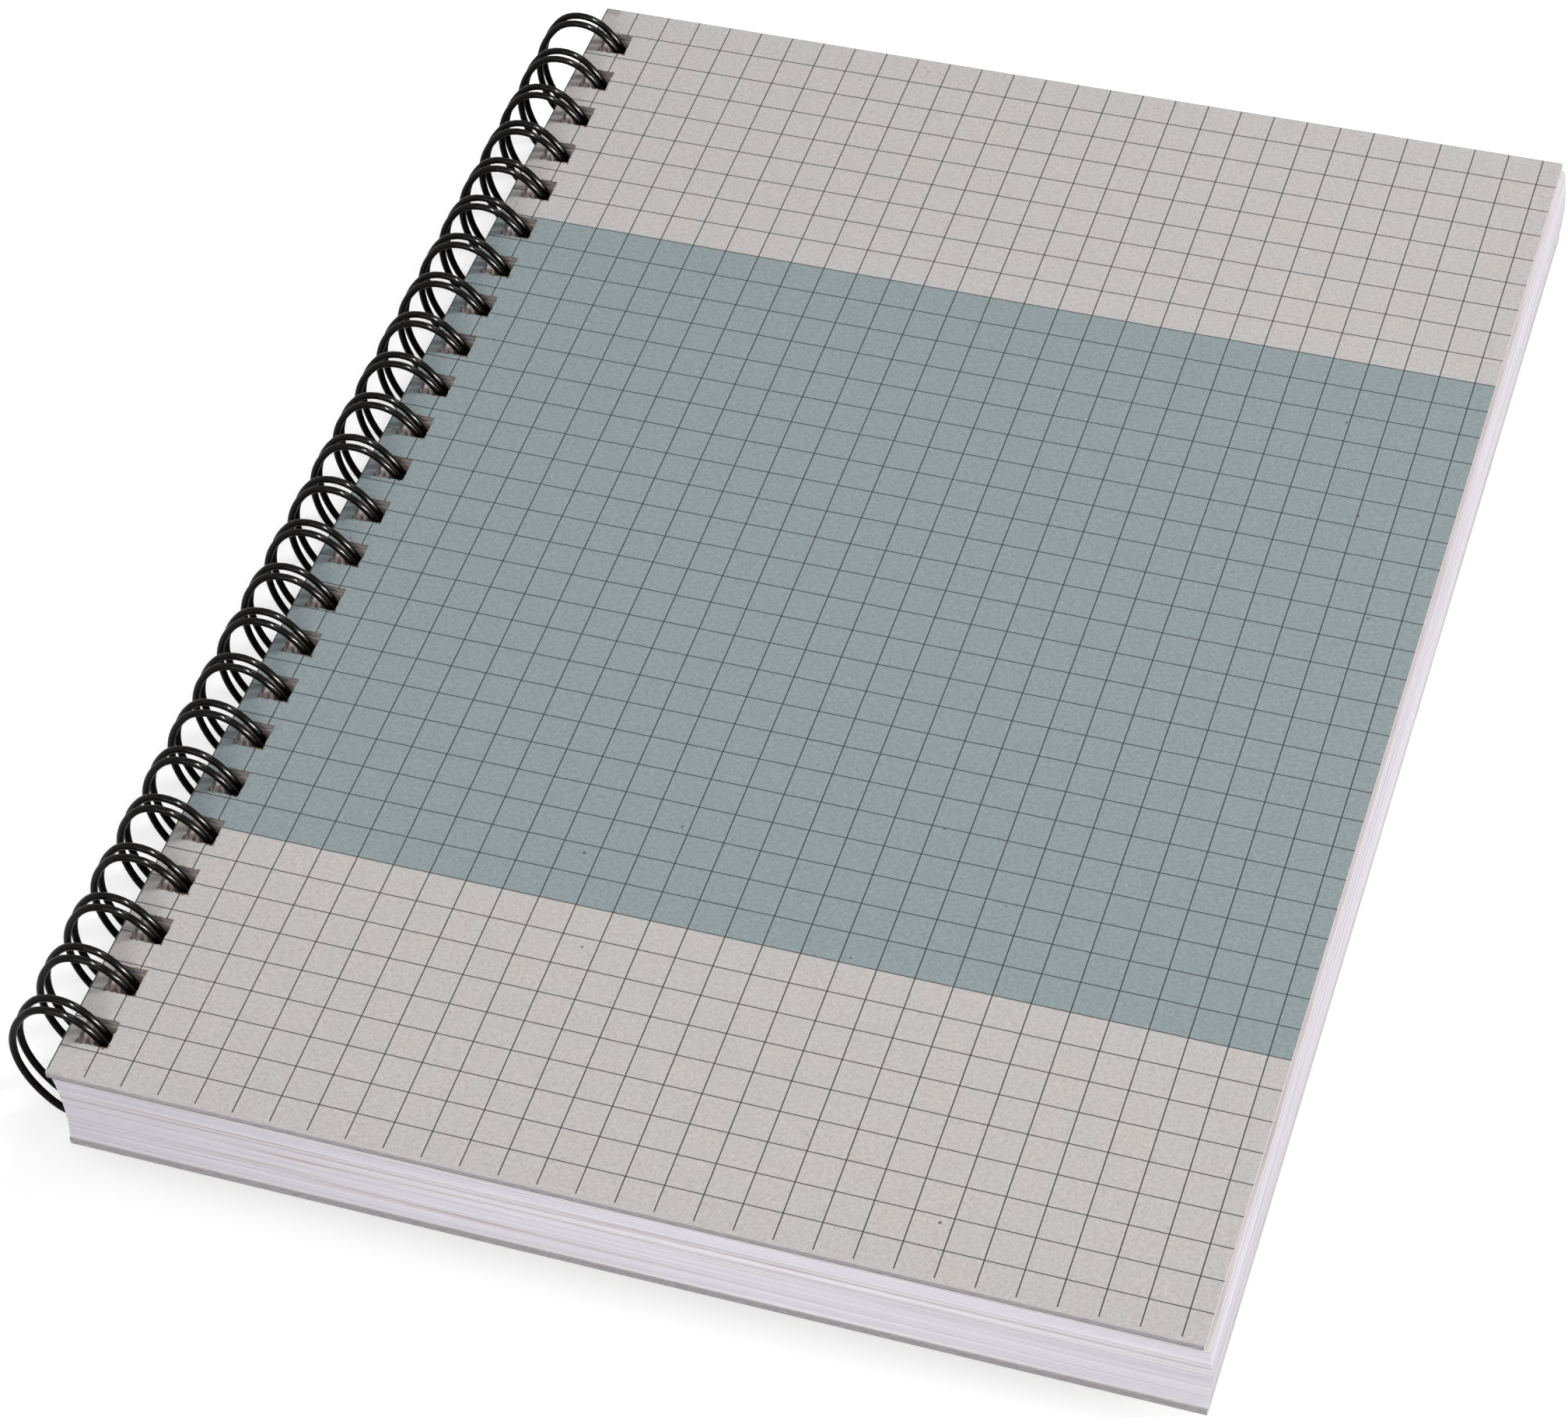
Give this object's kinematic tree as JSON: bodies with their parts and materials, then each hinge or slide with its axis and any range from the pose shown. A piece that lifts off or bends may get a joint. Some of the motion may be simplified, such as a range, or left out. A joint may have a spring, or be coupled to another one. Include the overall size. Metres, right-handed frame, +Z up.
{
  "type": "spiral notebook",
  "caption": "A5 notebook with board covers and a block of leaves, held by a twin-loop binding wire; both covers open flat.",
  "frame": {"origin": "under the middle of the notebook's outline, level with the lowest point of the wire loops", "axes": "+X from the bound edge to the fore edge, +Y along the bound edge to the head, +Z up out of the front cover"},
  "size_m": [0.1582, 0.21, 0.023],
  "materials": {
    "cover_board": "uncoated recycled board with printed grid lines",
    "leaves": "uncoated white paper, cut edges",
    "coated_wire": "gloss black coating"
  },
  "bodies": {
    "block": {"page_block": "leaves", "binding_wire": "coated_wire"},
    "front_cover": {"front_cover": "cover_board"},
    "back_cover": {"back_cover": "cover_board"}
  },
  "joints": [
    {"name": "front_cover_hinge", "type": "hinge", "parent": "block", "child": "front_cover", "pos_m": [-0.07165, 0, 0.016], "axis": [0, -1, 0], "range_deg": [0, 180]},
    {"name": "back_cover_hinge", "type": "hinge", "parent": "block", "child": "back_cover", "pos_m": [-0.0714, 0, 0.007], "axis": [0, 1, 0], "range_deg": [0, 180]}
  ]
}
